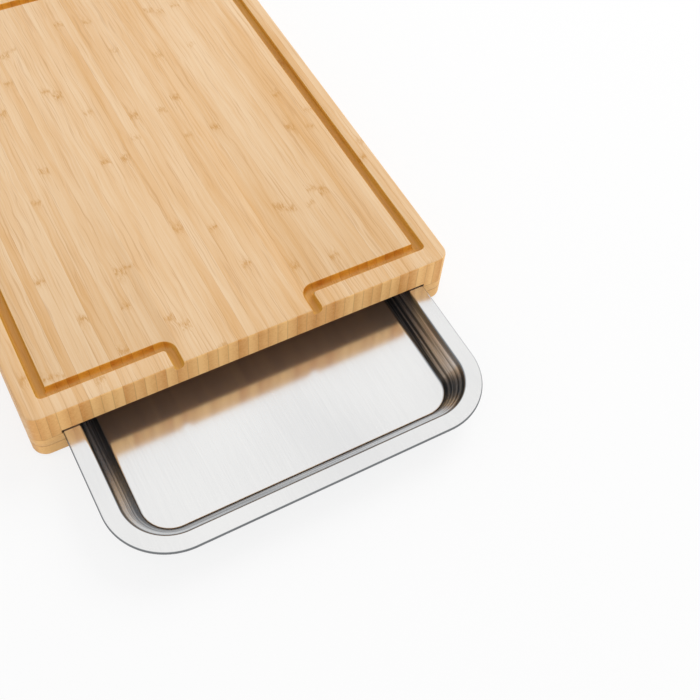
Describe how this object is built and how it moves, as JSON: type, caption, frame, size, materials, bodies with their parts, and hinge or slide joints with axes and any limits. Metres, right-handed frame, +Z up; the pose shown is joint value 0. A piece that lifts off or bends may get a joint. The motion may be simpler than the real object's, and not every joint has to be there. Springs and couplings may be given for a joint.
{
  "type": "carving board with tray",
  "caption": "Laminated bamboo carving board with a juice groove, standing on side rails, with a flanged steel tray that slides in under the slab.",
  "frame": {"origin": "on the table, in the middle of the box that the board and its pulled-out tray fill", "axes": "+X to the right, +Y to the board's back (the tray pulls out towards -Y), +Z up"},
  "size_m": [0.3, 0.4976, 0.0447],
  "materials": {
    "bamboo_strip": "sanded bamboo strips on edge, lightly oiled",
    "bamboo_rail": "sanded bamboo layers lying flat, lightly oiled",
    "tray_steel": "satin stainless sheet with a polished wall",
    "foot_rubber": "matt soft rubber"
  },
  "bodies": {
    "board": {"stave_01": "bamboo_strip", "stave_02": "bamboo_strip", "stave_03": "bamboo_strip", "stave_04": "bamboo_strip", "stave_05": "bamboo_strip", "stave_06": "bamboo_strip", "stave_07": "bamboo_strip", "stave_08": "bamboo_strip", "stave_09": "bamboo_strip", "stave_10": "bamboo_strip", "stave_11": "bamboo_strip", "stave_12": "bamboo_strip", "stave_13": "bamboo_strip", "stave_14": "bamboo_strip", "stave_15": "bamboo_strip", "stave_16": "bamboo_strip", "stave_17": "bamboo_strip", "stave_18": "bamboo_strip", "stave_19": "bamboo_strip", "stave_20": "bamboo_strip", "stave_21": "bamboo_strip", "stave_22": "bamboo_strip", "stave_23": "bamboo_strip", "stave_24": "bamboo_strip", "stave_25": "bamboo_strip", "stave_26": "bamboo_strip", "stave_27": "bamboo_strip", "stave_28": "bamboo_strip", "stave_29": "bamboo_strip", "stave_30": "bamboo_strip", "stave_31": "bamboo_strip", "stave_32": "bamboo_strip", "stave_33": "bamboo_strip", "stave_34": "bamboo_strip", "stave_35": "bamboo_strip", "stave_36": "bamboo_strip", "stave_37": "bamboo_strip", "stave_38": "bamboo_strip", "stave_39": "bamboo_strip", "stave_40": "bamboo_strip", "stave_41": "bamboo_strip", "stave_42": "bamboo_strip", "stave_43": "bamboo_strip", "left_rail_lower": "bamboo_rail", "left_rail_upper": "bamboo_rail", "right_rail_lower": "bamboo_rail", "right_rail_upper": "bamboo_rail", "back_rail_lower": "bamboo_rail", "back_rail_upper": "bamboo_rail", "foot_front_left": "foot_rubber", "foot_front_right": "foot_rubber", "foot_back_left": "foot_rubber", "foot_back_right": "foot_rubber"},
    "tray": {"tray": "tray_steel"}
  },
  "joints": [
    {"name": "tray_slide", "type": "slide", "parent": "board", "child": "tray", "axis": [0, -1, 0], "range_m": [-0.1075, 0.1985]}
  ]
}
